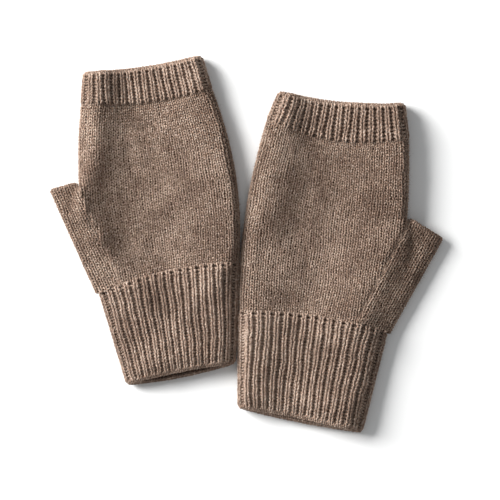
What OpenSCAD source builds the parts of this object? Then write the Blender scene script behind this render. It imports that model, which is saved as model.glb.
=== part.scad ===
// A pair of hand-length knitted fingerless gloves, laid flat side by side.
// +Z is up from the surface they lie on, +Y runs from the cuffs to the fingers,
// and the thumbs point away from each other. The origin is under the middle of
// the pair. Each glove is drawn once in its own plane, with its cuff's open
// edge on the X axis and its thumb towards +X, and is then laid in its place.

/* [Glove lengths] */
// Length of the ribbed cuff
cuff_l = 62; // [45:1:90]
// Length of the plain hand, from the cuff to the finger rib
hand_l = 113; // [95:1:140]
// Length of the rib round the fingers
finger_rib_l = 20; // [12:1:32]
// Length of the edge worked round each opening
edge_l = 2.4; // [1.6:0.2:4]

/* [Glove widths, laid flat] */
// Width at the cuff's open edge
cuff_mouth_w = 71; // [60:1:90]
// Width where the cuff meets the hand
wrist_w = 89; // [80:1:110]
// Width where the hand meets the finger rib
knuckle_w = 86; // [76:1:104]
// Width at the finger rib's open edge
finger_mouth_w = 77; // [66:1:96]
// How far each side of the hand swells between wrist and knuckles
hand_swell = 4.5; // [0:0.5:8]

/* [Thumb] */
// Height of the crotch between thumb and hand, above the cuff's end
crotch_rise = 68; // [58:1:82]
// Where the thumb's fold line starts, up the outer edge from the wrist
fold_rise = 5; // [4:0.5:12]
// How far the thumb's outer corner stands out from the crotch
thumb_reach = 22; // [18:1:30]
// How far the thumb's outer corner lies below the crotch
thumb_drop = 9; // [4:1:14]
// Length of the tube beyond the gusset
thumb_stub_l = 16; // [10:1:24]

/* [Fabric] */
// Thickness of one layer of the knitted fabric
wall = 2.2; // [1.4:0.1:3]
// Height of the glove as it lies, over both layers
lay_h = 11; // [9:0.5:16]
// Thickness of the worked edges
edge_t = 2.8; // [2:0.1:4]
// Width and height of a joining seam
seam_t = 1.6; // [1:0.1:2.4]
// Gap left where one part folds against another
fold_gap = 0.4; // [0.3:0.1:1]

/* [How the pair lies] */
// Angle that each glove leans, outwards at the fingers
lean = 7.4; // [4:0.2:12]
// Clear distance between the two gloves
pair_gap = 2.5; // [1:0.5:40]
// How much higher the left glove lies than the right one
pair_stagger = 28; // [0:1:60]

/* [Hidden] */

LEFT = -1;
RIGHT = 1;

knit_light = [0.55, 0.47, 0.41];
knit_mid = [0.49, 0.42, 0.37];
rib_mid = [0.46, 0.39, 0.34];
edge_dark = [0.39, 0.33, 0.29];

hand_y = cuff_l;                         // where the hand starts
rib_y = hand_y + hand_l;                 // where the finger rib starts
top_y = rib_y + finger_rib_l;            // where the finger rib ends
past = 2;                                // how far a hollow runs out of an open end
side_steps = 10;                         // points along each curved side of the hand
edge_proud = (edge_t - wall) / 2;        // how far a worked edge stands proud of the fabric
edge_lift = 0.2;                         // how far a worked edge stays off the surface

function mix(a, b, share) = a + (b - a) * share;
function unit(v) = v / norm(v);
function turned(v) = [v[1], -v[0]];      // a quarter turn clockwise

// Half the width of the hand, at height y
function hand_half(y) =
    let (share = (y - hand_y) / hand_l)
    mix(wrist_w, knuckle_w, share) / 2 + hand_swell * sin(180 * share);

// Points up the little finger's side of the hand, drawn in by inset
function little_side(inset) =
    [for (i = [0:side_steps]) let (y = hand_y + hand_l * i / side_steps) [-hand_half(y) + inset, y]];

// Points down the thumb's side of the hand, from the rib to the crotch, drawn in by inset
function thumb_side(inset) =
    [for (i = [side_steps:-1:0]) let (y = mix(crotch[1], rib_y, i / side_steps)) [hand_half(y) - inset, y]];

// The thumb's plan: the gusset widens the glove from the wrist to the thumb's
// mouth, and the thumb folds up about a straight line from the outer edge near
// the wrist to the crotch, as flat fabric does, so nothing tears at either end.
crotch = [hand_half(hand_y + crotch_rise), hand_y + crotch_rise];
thumb_corner = crotch + [thumb_reach, -thumb_drop];
wrist_corner = [wrist_w / 2, hand_y];
outer_along = unit(thumb_corner - wrist_corner);
outer_in = -turned(outer_along);
fold_foot = wrist_corner + outer_along * fold_rise;
fold_along = unit(crotch - fold_foot);
fold_out = turned(fold_along);
fold_clear = fold_out * fold_gap;
flap_foot = fold_foot + outer_along * fold_gap / (fold_out * outer_along);
stub_share = thumb_stub_l / norm(thumb_corner - fold_foot);
stub_in = mix(crotch, fold_foot, stub_share);
stub_out = mix(thumb_corner, fold_foot, stub_share);
mouth_along = turned(unit(crotch - thumb_corner));

// A glove's corners in its own plane, worked edges included
corners = concat(
    little_side(0), [crotch, thumb_corner, wrist_corner],
    [for (s = [-1, 1], end = [0, -edge_l]) [s * (cuff_mouth_w / 2 + edge_proud), end]],
    [for (s = [-1, 1], end = [0, edge_l]) [s * (finger_mouth_w / 2 + edge_proud), top_y + end]],
    [thumb_corner + mouth_along * edge_l]);

// Turn a point of a glove's own plane to the angle at which the glove lies
function leant(side, p) =
    let (a = -side * lean, x = side * p[0])
    [x * cos(a) - p[1] * sin(a), x * sin(a) + p[1] * cos(a)];

// The gloves lie pair_gap apart wherever they are level with each other
pair_spacing = pair_gap - 2 * min([for (p = corners) leant(RIGHT, p)[0]]);
all_corners = [for (side = [LEFT, RIGHT], p = corners)
    leant(side, p) + side * [pair_spacing, -pair_stagger] / 2];
pair_centre = [for (k = [0, 1])
    (min([for (p = all_corners) p[k]]) + max([for (p = all_corners) p[k]])) / 2];

module lay(side) {
    translate([side * pair_spacing / 2 - pair_centre[0], -side * pair_stagger / 2 - pair_centre[1], 0])
        rotate(-side * lean)
            mirror([side == LEFT ? 1 : 0, 0, 0])
                children();
}

// Two layers of fabric joined at their sides: a plan, and the hollow inside it
module sleeve(plan, hollow, layer = wall) {
    difference() {
        linear_extrude(lay_h) polygon(plan);
        translate([0, 0, layer]) linear_extrude(lay_h - 2 * layer) polygon(hollow);
    }
}

// A plan with straight sides, symmetrical about the glove's middle line
function taper(y0, half0, y1, half1) = [[-half0, y0], [half0, y0], [half1, y1], [-half1, y1]];

hand_plan = concat(little_side(0), thumb_side(0), [fold_foot, wrist_corner]);
hand_hollow = concat(
    [[wall - wrist_w / 2, hand_y - past]], little_side(wall),
    [[wall - knuckle_w / 2, rib_y + past], [knuckle_w / 2 - wall, rib_y + past]],
    thumb_side(wall),
    [crotch + fold_out * past, fold_foot + (fold_along + fold_out) * past,
     fold_foot + outer_in * wall, wrist_corner + outer_in * wall,
     wrist_corner + outer_in * wall - [0, past]]);

module palm_panel(side) {
    color(knit_mid) lay(side) linear_extrude(wall) polygon(hand_plan);
}

module back_panel(side) {
    color(knit_light) lay(side) difference() {
        translate([0, 0, wall]) linear_extrude(lay_h - wall) polygon(hand_plan);
        linear_extrude(lay_h - wall) polygon(hand_hollow);
    }
}

// A seam joins the fabric's two selvedges inside the little finger's side
module seam(points) {
    translate([0, 0, (lay_h - seam_t) / 2])
        linear_extrude(seam_t)
            polygon(concat(points, [for (i = [len(points) - 1:-1:0]) points[i] + [seam_t, 0]]));
}

module side_seam(side) {
    color(edge_dark) lay(side) seam(little_side(wall));
}

module finger_rib(side) {
    color(rib_mid) lay(side) sleeve(
        taper(rib_y, knuckle_w / 2, top_y, finger_mouth_w / 2),
        taper(rib_y - past, knuckle_w / 2 - wall, top_y + past, finger_mouth_w / 2 - wall));
}

// The worked edge of an opening: a thicker ring that stands proud outside and in
module worked_edge(half) {
    translate([0, 0, edge_lift])
        rotate([90, 0, 0])
            linear_extrude(edge_l)
                difference() {
                    translate([-half - edge_proud, 0]) square([2 * (half + edge_proud), lay_h]);
                    translate([-half - edge_proud + edge_t, edge_t])
                        square([2 * (half + edge_proud - edge_t), lay_h - 2 * edge_t]);
                }
}

module finger_edge(side) {
    color(edge_dark) lay(side) translate([0, top_y + edge_l, 0]) worked_edge(finger_mouth_w / 2);
}

module cuff_rib(side) {
    end_y = cuff_l - fold_gap;
    color(rib_mid) lay(side) sleeve(
        taper(0, cuff_mouth_w / 2, end_y, wrist_w / 2),
        taper(-past, cuff_mouth_w / 2 - wall, end_y + past, wrist_w / 2 - wall));
}

module cuff_edge(side) {
    color(edge_dark) lay(side) worked_edge(cuff_mouth_w / 2);
}

module cuff_seam(side) {
    end_y = cuff_l - fold_gap;
    color(edge_dark) lay(side) seam([
        [wall - cuff_mouth_w / 2, 0],
        [wall - mix(cuff_mouth_w, wrist_w, end_y / (end_y + past)) / 2, end_y]]);
}

// The outer part of the gusset: it folds with the thumb, and is open to the hand
module thumb_gusset(side) {
    color(knit_light) lay(side) sleeve(
        [flap_foot, stub_out, stub_in + fold_clear],
        [fold_foot + outer_in * wall,
         stub_out + outer_in * wall + outer_along * past,
         stub_in + (fold_along - fold_out) * past]);
}

module thumb_stub(side) {
    color(knit_mid) lay(side) sleeve(
        [stub_in + fold_clear, stub_out, thumb_corner, crotch + fold_clear],
        [stub_in - (fold_along + fold_out) * past, stub_out + outer_in * wall - outer_along * past,
         thumb_corner + outer_in * wall + outer_along * past,
         crotch + (fold_along - fold_out) * past]);
}

module thumb_edge(side) {
    slope = thumb_corner - crotch - fold_clear;
    mouth_in = crotch + fold_clear + unit(slope) * fold_gap;
    mouth_half = norm(thumb_corner - mouth_in) / 2;
    color(edge_dark) lay(side)
        translate(mix(mouth_in, thumb_corner, 0.5))
            rotate(atan2(slope[1], slope[0]))
                translate([0, edge_l, 0])
                    worked_edge(mouth_half - edge_proud);
}

back_panel(LEFT);  // left_back_panel
palm_panel(LEFT);  // left_palm_panel
side_seam(LEFT);  // left_side_seam
finger_rib(LEFT);  // left_finger_rib
finger_edge(LEFT);  // left_finger_edge
cuff_rib(LEFT);  // left_cuff_rib
cuff_edge(LEFT);  // left_cuff_edge
cuff_seam(LEFT);  // left_cuff_seam
thumb_gusset(LEFT);  // left_thumb_gusset
thumb_stub(LEFT);  // left_thumb_stub
thumb_edge(LEFT);  // left_thumb_edge
back_panel(RIGHT);  // right_back_panel
palm_panel(RIGHT);  // right_palm_panel
side_seam(RIGHT);  // right_side_seam
finger_rib(RIGHT);  // right_finger_rib
finger_edge(RIGHT);  // right_finger_edge
cuff_rib(RIGHT);  // right_cuff_rib
cuff_edge(RIGHT);  // right_cuff_edge
cuff_seam(RIGHT);  // right_cuff_seam
thumb_gusset(RIGHT);  // right_thumb_gusset
thumb_stub(RIGHT);  // right_thumb_stub
thumb_edge(RIGHT);  // right_thumb_edge
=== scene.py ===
"""A pair of knitted fingerless gloves, laid flat side by side.

Each glove is modelled as it is knitted. A soft flat tube, the form, gives the shape in which the fabric
lies, and every course of stitches is a real length of yarn that loops along it: plain stitches on the
hand and thumb, knit-one purl-one ribs on the cuff and round the fingers. A thin ground sheet lies
inside the yarn and closes the fabric, as the matted fibres of a brushed yarn do; its dark colour is
painted shade for the gaps between the loops.
"""
from __future__ import annotations

import logging
import math
from dataclasses import dataclass, field
from enum import Enum

import bpy
import numpy as np
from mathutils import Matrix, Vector

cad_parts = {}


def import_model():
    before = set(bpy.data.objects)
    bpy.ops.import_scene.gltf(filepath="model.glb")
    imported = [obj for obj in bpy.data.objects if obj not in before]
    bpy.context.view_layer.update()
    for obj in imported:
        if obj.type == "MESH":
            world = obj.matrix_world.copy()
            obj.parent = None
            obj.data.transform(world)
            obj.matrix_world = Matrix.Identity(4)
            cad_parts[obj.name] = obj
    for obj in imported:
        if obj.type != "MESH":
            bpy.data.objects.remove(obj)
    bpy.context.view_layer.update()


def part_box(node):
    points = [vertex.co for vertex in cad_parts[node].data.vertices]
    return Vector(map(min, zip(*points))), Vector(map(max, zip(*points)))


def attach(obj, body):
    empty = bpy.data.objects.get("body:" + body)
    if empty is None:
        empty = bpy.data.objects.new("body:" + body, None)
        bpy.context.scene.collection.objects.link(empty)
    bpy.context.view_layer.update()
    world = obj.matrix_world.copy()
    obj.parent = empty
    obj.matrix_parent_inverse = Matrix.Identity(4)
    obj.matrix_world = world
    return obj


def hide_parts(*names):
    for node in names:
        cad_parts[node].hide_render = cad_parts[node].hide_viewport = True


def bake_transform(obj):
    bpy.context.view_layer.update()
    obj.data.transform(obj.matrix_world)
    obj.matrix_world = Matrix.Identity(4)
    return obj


LOG = logging.getLogger("gloves")
MM = 0.001


class Hand(Enum):
    """Which glove of the pair, by the side on which it lies."""

    LEFT = -1
    RIGHT = 1

    @property
    def word(self) -> str:
        """The glove's name, as the frame's nodes spell it."""
        return self.name.lower()


class Layer(Enum):
    """The two layers of a glove that lies flat."""

    UPPER = 1
    LOWER = -1


class Structure(Enum):
    """How the stitches of a piece are knitted."""

    PLAIN = "plain"
    RIB = "rib"


@dataclass(frozen=True)
class Yarn:
    """A soft two-ply yarn, and how its loops stand in the fabric, in millimetres.

    Attributes:
        diameter: Thickness of the yarn in a rib.
        plain_diameter: The same in plain fabric, where it is pulled thinner.
        sides: Sides of its cross-section.
        steps: Points along one stitch. An odd number keeps a loop's head round.
        lean: How far the legs of a plain loop lean, as a share of the stitch's width.
        rib_lean: The same in a rib, where the legs stand straighter.
        gather: How close together a plain loop's legs stand; at 1 all legs are evenly spaced.
        depth: How far heads and feet lie behind the legs in plain fabric, as half the difference.
        rib_depth: The same in a rib.
        overlap: Half the height of a plain loop, as a share of the course spacing.
        rib_overlap: The same in a rib, whose loops are pulled long.
    """

    diameter: float = 1.28
    plain_diameter: float = 1.02
    sides: int = 5
    steps: int = 9
    lean: float = 0.235
    rib_lean: float = 0.22
    gather: float = 0.95
    depth: float = 0.66
    rib_depth: float = 0.56
    overlap: float = 0.58
    rib_overlap: float = 0.86


@dataclass(frozen=True)
class Gauge:
    """How many stitches the fabric has, counted as a knitter counts them.

    Attributes:
        wales: Stitches across one layer of the glove.
        course: Height of one course in plain fabric, in millimetres.
        rib_course: The same in a rib.
        knit_share: Share of a rib that its knit wale takes; the purl wale hides in the rest.
        rib_rise: Height of a rib's ridge above the middle of the fabric, in millimetres.
        purl_fall: Depth of the hollow between ribs below it.
        rib_opens: How many times wider a rib is when it is pulled flat. Not used.
    """

    wales: int = 33
    course: float = 1.72
    rib_course: float = 1.85
    knit_share: float = 0.66
    rib_rise: float = 0.75
    purl_fall: float = 1.25
    rib_opens: float = 1.4


@dataclass(frozen=True)
class Swell:
    """A long soft rise or hollow in the upper layer, along a line of given points.

    Attributes:
        line: Points along its middle, in millimetres in the glove's plane, from the fingers down.
        height: How far it rises; a hollow's is negative.
        little_reach: How far towards the little finger's side it fades.
        thumb_reach: How far towards the thumb's side it fades.
        change_run: How far to either side of the line one reach passes into the other.
    """

    line: tuple[tuple[float, float], ...]
    height: float
    little_reach: float
    thumb_reach: float
    change_run: float = 6.0

    def at(self, x: np.ndarray, y: np.ndarray) -> np.ndarray:
        """Height that this swell adds at each point.

        Args:
            x: Positions across the glove.
            y: Positions along the glove.

        Returns:
            The added height, in millimetres.
        """
        nearest, share = np.full(x.shape, np.inf), np.zeros(x.shape)
        for (x0, y0), (x1, y1) in zip(self.line, self.line[1:]):
            dx, dy = x1 - x0, y1 - y0
            along = np.clip(((x - x0) * dx + (y - y0) * dy) / (dx * dx + dy * dy), 0.0, 1.0)
            far = np.hypot(x - x0 - along * dx, y - y0 - along * dy)
            side = (x - x0) * dy - (y - y0) * dx
            turn = np.clip(side / (np.hypot(dx, dy) * self.change_run), -1, 1) / 2
            reach = self.little_reach + (self.thumb_reach - self.little_reach) * (0.5 - turn)
            share = np.where(far < nearest, (far / reach) ** 2, share)
            nearest = np.minimum(nearest, far)
        return self.height * np.exp(-share)


@dataclass(frozen=True)
class Unevenness:
    """A smooth random field: the wander and cockle of fabric that was knitted, washed and handled.

    Attributes:
        seed: Which field it is.
        size: Its root mean square, in millimetres.
        shortest: Its shortest wave, in millimetres.
        longest: Its longest wave, in millimetres.
        waves: How many waves are summed.
    """

    seed: int
    size: float
    shortest: float
    longest: float
    waves: int = 26

    def at(self, x: np.ndarray, y: np.ndarray) -> np.ndarray:
        """Value of the field at each point.

        Args:
            x: Positions across the glove.
            y: Positions along the glove.

        Returns:
            The values, in millimetres.
        """
        chance = np.random.default_rng(self.seed)
        length = np.exp(chance.uniform(math.log(self.shortest), math.log(self.longest), self.waves))
        turn = chance.uniform(0, 2 * np.pi, self.waves)
        phase = chance.uniform(0, 2 * np.pi, self.waves)
        share = np.sqrt(length)
        share = share / np.sqrt((share ** 2).sum() / 2)
        total = np.zeros(np.shape(x))
        for wave, way, start, part in zip(2 * np.pi / length, turn, phase, share):
            total += part * np.sin(wave * (np.cos(way) * x + np.sin(way) * y) + start)
        return self.size * total


@dataclass(frozen=True)
class Plan:
    """The outline in which one glove lies, in millimetres in its own plane.

    The cuff's mouth is on the X axis, the fingers lie towards +Y and the thumb towards +X.
    """

    cuff_mouth_half: float
    wrist_half: float
    knuckle_half: float
    finger_mouth_half: float
    side_swell: float
    cuff_length: float
    hand_length: float
    rib_length: float
    cuff_bow: float
    wrist_bow: float
    knuckle_bow: float
    finger_bow: float
    tilts: tuple[float, float, float, float]
    drifts: tuple[float, float]
    lifts: tuple[float, float, float, float]
    slopes: tuple[float, float]
    cuff_slopes: tuple[float, float]
    crotch: tuple[float, float]
    thumb_corner: tuple[float, float]
    gusset_foot: tuple[float, float]
    thumb_foot: tuple[float, float]
    thumb_wales: int
    lower_mouth_drop: float
    thumb_slope: float
    swells: tuple[Swell, ...]

    @property
    def rib_start(self) -> float:
        """Height at which the finger rib starts."""
        return self.cuff_length + self.hand_length

    @property
    def length(self) -> float:
        """Whole length of the glove."""
        return self.rib_start + self.rib_length

    def half_width(self, s: np.ndarray) -> np.ndarray:
        """Half the glove's width at each height, the thumb left out."""
        marks = (0.0, self.cuff_length, self.rib_start, self.length)
        halves = (self.cuff_mouth_half, self.wrist_half, self.knuckle_half, self.finger_mouth_half)
        share = np.clip((s - self.cuff_length) / self.hand_length, 0.0, 1.0)
        return np.interp(s, marks, halves) + self.side_swell * np.sin(np.pi * share) ** 0.85

    def rise(self, s: np.ndarray, side: np.ndarray) -> np.ndarray:
        """How far a course's points lie above its nominal height.

        Args:
            s: Nominal heights.
            side: Places across the course, from -1 at the little finger's side to 1 at the thumb's.

        Returns:
            The rise at each point: the course's lift, bow and tilt.
        """
        marks = (0.0, self.cuff_length, self.rib_start, self.length)
        bows = (self.cuff_bow, self.wrist_bow, self.knuckle_bow, self.finger_bow)
        return (np.interp(s, marks, self.lifts) + np.interp(s, marks, bows) * (1 - side ** 2)
                + np.interp(s, marks, self.tilts) * side)


LEFT_PLAN = Plan(
    cuff_mouth_half=33.4, wrist_half=43.2, knuckle_half=39.8, finger_mouth_half=36.4, side_swell=6.6,
    cuff_length=60.5, hand_length=113.5, rib_length=18.0,
    cuff_bow=1.8, wrist_bow=3.8, knuckle_bow=-3.5, finger_bow=-2.0,
    tilts=(-2.2, -3.8, 0.6, -0.4), drifts=(0.0, -1.0),
    lifts=(2.6, 0.0, 0.0, 0.0), slopes=(4.0, 12.5), cuff_slopes=(12.0, 24.0),
    crotch=(48.2, 124.6), thumb_corner=(65.0, 122.2), gusset_foot=(29.0, 62.0), thumb_foot=(45.4, 57.0),
    thumb_wales=6, lower_mouth_drop=3.6, thumb_slope=24.0,
    swells=(
        Swell(((2.0, 200.0), (5.0, 183.0), (8.0, 140.0), (17.0, 98.0), (14.0, 76.0)), -5.6, 32.0, 15.0),
        Swell(((29.5, 190.0), (31.5, 174.0), (34.5, 145.0), (43.0, 124.0), (47.0, 110.0), (41.0, 92.0)), 3.8,
              9.0, 7.0),
        Swell(((50.7, 126.0), (55.0, 109.0), (53.0, 100.0)), -2.0, 3.0, 3.0),
        Swell(((50.0, 128.0), (49.0, 106.0)), 3.2, 5.0, 10.0),
        Swell(((-37.0, 190.0), (-41.5, 160.0), (-42.5, 101.0), (-35.0, 66.0)), 3.0, 6.0, 24.0),
    ),
)

RIGHT_PLAN = Plan(
    cuff_mouth_half=38.3, wrist_half=45.6, knuckle_half=43.4, finger_mouth_half=38.6, side_swell=4.8,
    cuff_length=61.0, hand_length=121.0, rib_length=17.5,
    cuff_bow=1.2, wrist_bow=3.6, knuckle_bow=-7.5, finger_bow=-3.2,
    tilts=(-2.6, -0.4, -0.3, 1.2), drifts=(-1.4, -1.4),
    lifts=(2.0, 0.0, 0.0, 0.0), slopes=(9.0, 4.0), cuff_slopes=(7.0, 12.0),
    crotch=(48.6, 131.0), thumb_corner=(70.8, 121.2), gusset_foot=(25.2, 65.2), thumb_foot=(46.4, 60.4),
    thumb_wales=8, lower_mouth_drop=2.4, thumb_slope=8.0,
    swells=(
        Swell(((-17.0, 204.0), (-12.0, 180.0), (-7.0, 152.0), (-9.0, 118.0)), -5.6, 16.0, 27.0),
        Swell(((-10.0, 118.0), (-14.0, 78.0)), -1.8, 16.0, 24.0),
        Swell(((-33.0, 198.0), (-35.0, 182.0), (-39.0, 142.0), (-40.0, 120.0)), 1.7, 8.0, 9.0),
        Swell(((-12.0, 66.0), (-10.0, 6.0)), -3.2, 17.0, 26.0),
        Swell(((30.0, 62.0), (24.0, 4.0)), 1.6, 18.0, 10.0),
        Swell(((41.5, 182.0), (42.0, 150.0), (41.5, 122.0), (35.0, 98.0), (26.5, 70.0)), 4.8, 19.0, 13.0),
        Swell(((50.5, 132.0), (52.5, 118.0), (53.0, 108.0)), -1.3, 2.6, 3.6),
        Swell(((48.0, 128.0), (37.0, 98.0), (26.0, 68.0)), -0.9, 1.3, 1.6),
        Swell(((64.0, 120.0), (55.0, 90.0), (46.0, 68.0)), -1.0, 12.0, 14.0),
    ),
)


@dataclass(frozen=True)
class Form:
    """The soft flat tube in which a glove lies: the middle surface of its fabric.

    A point is named by its layer, by p, its share of the way from the little finger's side to the
    thumb's side, and by s, its height above the cuff's mouth in millimetres. Beyond either mouth the
    surface curls inwards, as the edge of a ribbed tube does. Lengths are in millimetres.

    Attributes:
        plan: The outline in which the glove lies.
        turn_reach: How far in from a side the fabric turns over.
        turn_length: Fabric in one quarter of that turn, as a multiple of the reach.
        fold_height: Height at which the two layers meet at a side.
        round_share: Share of the upper layer's rise that the turn itself makes.
        slope_share: Share that the long slope beyond it makes.
        slope_power: How quickly that slope rises at first.
        slope_change_run: Length over which the cuff's slopes pass into the hand's.
        pinch_reach: How far from the crotch the layers have parted, and the side slope's reach there.
        crotch_run: How far above the crotch the thumb side's slope has its full reach.
        lip_radius: Radius in which the edge of a mouth curls in.
        rest_plain: Height of the lower layer's middle where it is plain.
        rest_rib: The same where it is ribbed.
        lay_height: Height of the upper layer's middle before its swells.
        least_height: Height towards which its hollows flatten, so that they clear the lower layer.
        least_softness: How softly they flatten, in square millimetres.
        blend_run: Length over which plain fabric passes into rib.
        proud: How far the finger rib stands above the hand.
        proud_run: Length of that step.
        cuff_proud: How far the cuff stands above the hand.
        cuff_proud_run: Length of that step.
        step_overlap: How far past the change of stitch a step reaches.
        cuff_gape: How far the cuff's mouth stands open beyond the lay.
        cuff_gape_run: How far up the cuff that fades.
        finger_gape: The same at the fingers' mouth.
        finger_gape_run: How far down the hand that fades.
        mouth_fall: How far the cuff's edge droops again.
        mouth_fall_run: How far up the cuff the droop fades.
        lower_mouth_run: How far up the cuff the lower layer's drop fades.
        wander: Sideways unevenness of the stitches.
        wander_fade: How near a side it fades out.
        wander_stretch: Share of a length along the glove that counts, so its waves are longer there.
        layer_shift: How far apart the two layers read the field, so that they differ.
        cockle: Unevenness of the upper layer's height.
    """

    plan: Plan
    turn_reach: float = 3.6
    turn_length: float = 1.32
    fold_height: float = 4.0
    round_share: float = 0.3
    slope_share: float = 0.7
    slope_power: float = 1.8
    slope_change_run: float = 12.0
    pinch_reach: float = 4.0
    crotch_run: float = 20.0
    lip_radius: float = 1.5
    rest_plain: float = 1.45
    rest_rib: float = 2.1
    lay_height: float = 8.7
    least_height: float = 3.9
    least_softness: float = 1.2
    blend_run: float = 5.0
    proud: float = 1.3
    proud_run: float = 1.5
    cuff_proud: float = 2.0
    cuff_proud_run: float = 2.4
    step_overlap: float = 0.6
    cuff_gape: float = 1.4
    cuff_gape_run: float = 16.0
    finger_gape: float = 0.6
    finger_gape_run: float = 14.0
    mouth_fall: float = 1.8
    mouth_fall_run: float = 4.5
    lower_mouth_run: float = 14.0
    wander: Unevenness = Unevenness(3, 0.26, 14.0, 50.0)
    wander_fade: float = 6.0
    wander_stretch: float = 0.75
    layer_shift: float = 100.0
    cockle: Unevenness = Unevenness(8, 0.15, 7.0, 26.0)

    def across(self, p: np.ndarray, width: np.ndarray) -> np.ndarray:
        """Distance in from the little finger's side, in plan, of even steps along the fabric.

        Args:
            p: Share of the way along the fabric, from 0 to 1.
            width: Width in plan at each point.

        Returns:
            The distance in plan, which grows slowly where the fabric folds over at the sides.
        """
        quarter = self.turn_reach * self.turn_length
        whole = width - 2 * self.turn_reach + 2 * quarter
        run = p * whole
        near = self.turn_reach * (1 - np.cos(np.clip(run / quarter, 0, 1) * np.pi / 2))
        far = self.turn_reach * (1 - np.cos(np.clip((whole - run) / quarter, 0, 1) * np.pi / 2))
        middle = self.turn_reach + run - quarter
        return np.where(run < quarter, near, np.where(whole - run < quarter, width - far, middle))

    def fold(self, layer: Layer, distance: np.ndarray, slope: float | np.ndarray) -> np.ndarray:
        """Share of its full height that the fabric has at a distance from a side fold.

        Args:
            layer: The upper layer falls away to its folds in a long slope; the lower one lies flat.
            distance: Distances in plan.
            slope: How far in from the fold the slope reaches.

        Returns:
            The shares, from 0 at the fold to 1.
        """
        near = np.clip(distance / self.turn_reach, 0.0, 1.0)
        round_part = np.sqrt(np.clip(1 - (1 - near) ** 2, 0.0, 1.0))
        if layer is Layer.LOWER:
            return round_part
        far = np.clip(distance / slope, 0.0, 1.0)
        return self.round_share * round_part + self.slope_share * (1 - (1 - far) ** self.slope_power)

    def slope(self, s: np.ndarray, side: int) -> np.ndarray:
        """Reach of the slope down to one of the hand's or cuff's side folds."""
        into_hand = np.clip((s - self.plan.cuff_length) / self.slope_change_run + 0.5, 0, 1)
        cuff = self.plan.cuff_slopes[side]
        return cuff + (self.plan.slopes[side] - cuff) * into_hand

    def heights(self, layer: Layer, x: np.ndarray, y: np.ndarray, s: np.ndarray,
                puff: np.ndarray) -> np.ndarray:
        """Height of the fabric's middle above the surface it lies on.

        Args:
            layer: Which layer of the glove.
            x: Positions across the glove.
            y: Positions along the glove.
            s: Heights above the cuff's mouth, measured along the fabric.
            puff: Share of the full height that the nearest folds leave.

        Returns:
            The height at each point, in millimetres.
        """
        into_hand = np.clip((s - self.plan.cuff_length) / self.blend_run, 0, 1)
        into_rib = np.clip((s - self.plan.rib_start + self.blend_run) / self.blend_run, 0, 1)
        rest = self.rest_rib + (self.rest_plain - self.rest_rib) * (into_hand - into_rib)
        middle = self.fold_height
        if layer is Layer.LOWER:
            return middle - (middle - rest) * puff
        spare = self.lay_height - self.least_height + sum(swell.at(x, y) for swell in self.plan.swells)
        top = (self.least_height + (spare + np.sqrt(spare ** 2 + self.least_softness)) / 2
               + self.cockle.at(x, y))
        into_cuff = (self.plan.cuff_length + self.step_overlap - s) / self.cuff_proud_run
        top = top + self.cuff_proud * np.clip(into_cuff, 0, 1)
        into_fingers = (s - self.plan.rib_start + self.step_overlap) / self.proud_run
        top = top + self.proud * np.clip(into_fingers, 0, 1)
        top = top - self.mouth_fall * np.exp(-((s / self.mouth_fall_run) ** 2))
        gape = (self.cuff_gape * np.exp(-((s / self.cuff_gape_run) ** 2))
                + self.finger_gape * np.exp(-(((self.plan.length - s) / self.finger_gape_run) ** 2)))
        return middle + (top + gape - middle) * puff

    def point(self, layer: Layer, p: np.ndarray, s: np.ndarray) -> np.ndarray:
        """Points of the hand's and cuff's fabric, without the lips at its mouths."""
        half = self.plan.half_width(s)
        inset = self.across(p, 2 * half)
        loose = np.clip(np.minimum(inset, 2 * half - inset) / self.wander_fade, 0, 1)
        sway = self.wander.at(inset + self.layer_shift * layer.value, s * self.wander_stretch)
        inset = inset + sway * loose
        side = inset / half - 1
        level = 1 - side ** 2
        start, end = self.plan.drifts
        x = inset - half + start + (end - start) * s / self.plan.length
        y = s + self.plan.rise(s, side)
        if layer is Layer.LOWER:
            y = y - self.plan.lower_mouth_drop * level * np.exp(-((s / self.lower_mouth_run) ** 2))
        crotch_x, crotch_y = self.plan.crotch
        reach, climb = self.slope(s, 1), np.clip((y - crotch_y) / self.crotch_run, 0, 1)
        above_crotch = self.pinch_reach + (reach - self.pinch_reach) * climb
        reach = np.where(s > self.plan.cuff_length, above_crotch, reach)
        beside = self.fold(layer, 2 * half - inset, reach)
        pinch = self.fold(layer, np.hypot(x - crotch_x, y - crotch_y), self.pinch_reach)
        has_thumb = (y < crotch_y) & (s > self.plan.cuff_length)
        puff = self.fold(layer, inset, self.slope(s, 0)) * np.where(has_thumb, pinch, beside)
        return np.stack([x, y, self.heights(layer, x, y, s, puff)], axis=-1)

    def thumb_point(self, layer: Layer, q: np.ndarray, t: np.ndarray) -> np.ndarray:
        """Points of the gusset and thumb.

        Args:
            layer: Which layer of the glove.
            q: Share of the way from the gusset's inner line to the thumb's outer fold.
            t: Share of the way from the wrist to the thumb's mouth.

        Returns:
            The points, in millimetres.
        """
        plan = self.plan
        inner = np.multiply.outer(1 - t, plan.gusset_foot) + np.multiply.outer(t, plan.crotch)
        outer = np.multiply.outer(1 - t, plan.thumb_foot) + np.multiply.outer(t, plan.thumb_corner)
        width = np.linalg.norm(outer - inner, axis=-1)
        quarter = self.turn_reach * self.turn_length
        whole = width - self.turn_reach + quarter
        left = np.clip((1 - q) * whole / quarter, 0, 1)
        bent = width - self.turn_reach * (1 - np.cos(left * np.pi / 2))
        inset = np.where((1 - q) * whole < quarter, bent, q * whole)
        place = inner + (outer - inner) * (inset / width)[..., None]
        x, y = place[..., 0], place[..., 1]
        from_crotch = np.hypot(x - plan.crotch[0], y - plan.crotch[1])
        puff = (self.fold(layer, width - inset, plan.thumb_slope)
                * self.fold(layer, from_crotch, self.pinch_reach))
        return np.stack([x, y, self.heights(layer, x, y, y, puff)], axis=-1)

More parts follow.
